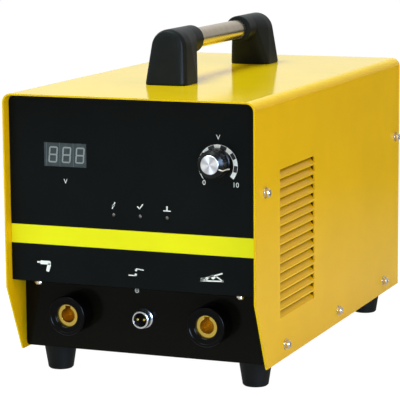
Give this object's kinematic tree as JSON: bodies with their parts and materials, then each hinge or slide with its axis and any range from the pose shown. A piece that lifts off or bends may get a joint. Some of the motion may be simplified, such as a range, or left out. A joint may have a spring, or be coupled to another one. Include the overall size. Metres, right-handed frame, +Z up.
{
  "type": "stud welder",
  "caption": "Box-shaped stud welder power unit: louvred sheet-metal cover, carry handle, rubber feet, display, knob and weld sockets on the front.",
  "frame": {"origin": "on the floor, under the middle of the whole outline", "axes": "+Z up, +Y from the front panel to the rear panel, +X to the right of someone facing the front"},
  "size_m": [0.244, 0.4446, 0.3056],
  "materials": {
    "yellow_paint": "glossy stoved paint, lightly orange-peeled",
    "black_paint": "semi-gloss black paint",
    "overlay_print": "satin printed film",
    "zinc_steel": "zinc plated",
    "bright_screws": "nickel plated",
    "foot_rubber": "matt moulded rubber",
    "handle_plastic": "fine-textured moulded plastic",
    "satin_tube": "satin drawn tube",
    "display_filter": "grey display face",
    "display_plastic": "plain moulded plastic",
    "circuit_board": "green solder mask",
    "lamp_plastic": "tinted clear lens",
    "knob_plastic": "satin moulded plastic",
    "knob_metal": "turned face",
    "socket_plastic": "satin moulded plastic",
    "socket_brass": "turned brass",
    "connector_chrome": "bright plated",
    "can_sleeve": "shrunk sleeve",
    "board_phenolic": "laminated board",
    "copper_bar": "copper",
    "core_steel": "varnished laminations",
    "sink_aluminium": "extruded",
    "fan_plastic": "moulded plastic",
    "guard_chrome": "plated wire",
    "rocker_plastic": "red moulded plastic"
  },
  "bodies": {
    "case": {"top_cover": "yellow_paint", "chassis_pan": "zinc_steel", "front_panel": "black_paint", "front_overlay": "overlay_print", "socket_panel": "black_paint", "rear_panel": "black_paint", "case_screws": "bright_screws", "case_washers": "bright_screws", "case_nuts": "zinc_steel", "rubber_feet": "foot_rubber", "foot_screws": "zinc_steel", "handle_front_post": "handle_plastic", "handle_rear_post": "handle_plastic", "handle_tube": "satin_tube", "handle_screws": "zinc_steel", "display_window": "display_filter", "display_module": "display_plastic", "control_board": "circuit_board", "board_standoffs": "zinc_steel", "indicator_lamps": "lamp_plastic", "pot_body": "display_plastic", "pot_nut": "zinc_steel", "left_socket_body": "socket_plastic", "right_socket_body": "socket_plastic", "left_socket_insert": "socket_brass", "right_socket_insert": "socket_brass", "socket_ring_nuts": "socket_plastic", "socket_stud_nuts": "socket_brass", "connector_shell": "connector_chrome", "connector_insert": "socket_plastic", "connector_pins": "socket_brass", "connector_nut": "zinc_steel", "capacitor_cans": "can_sleeve", "can_board": "board_phenolic", "positive_bus": "copper_bar", "negative_bus": "copper_bar", "terminal_screws": "zinc_steel", "transformer_core": "core_steel", "transformer_winding": "copper_bar", "transformer_strap": "zinc_steel", "heat_sink": "sink_aluminium", "discharge_thyristor": "display_plastic", "charging_bridge": "display_plastic", "gun_strap": "copper_bar", "clamp_strap": "copper_bar", "bank_link": "copper_bar", "power_board": "circuit_board", "fan_frame": "fan_plastic", "fan_guard": "guard_chrome", "rear_screws": "bright_screws", "switch_body": "fan_plastic", "mains_inlet": "fan_plastic", "inlet_pins": "socket_brass", "earth_stud": "socket_brass", "earth_nuts": "socket_brass"},
    "knob": {"setting_knob": "knob_plastic", "knob_cap": "knob_metal", "pot_shaft": "zinc_steel"},
    "rocker": {"power_rocker": "rocker_plastic"},
    "rotor": {"fan_rotor": "fan_plastic"}
  },
  "joints": [
    {"name": "knob_turn", "type": "hinge", "parent": "case", "child": "knob", "pos_m": [0.0796, -0.2043, 0.2032], "axis": [0, -1, 0], "range_deg": [-17, 253]},
    {"name": "rocker_tip", "type": "hinge", "parent": "case", "child": "rocker", "pos_m": [0.07, 0.2073, 0.195], "axis": [1, 0, 0], "range_deg": [0, 20]},
    {"name": "fan_spin", "type": "hinge", "parent": "case", "child": "rotor", "pos_m": [-0.045, 0.1943, 0.165], "axis": [0, 1, 0], "continuous": true}
  ]
}
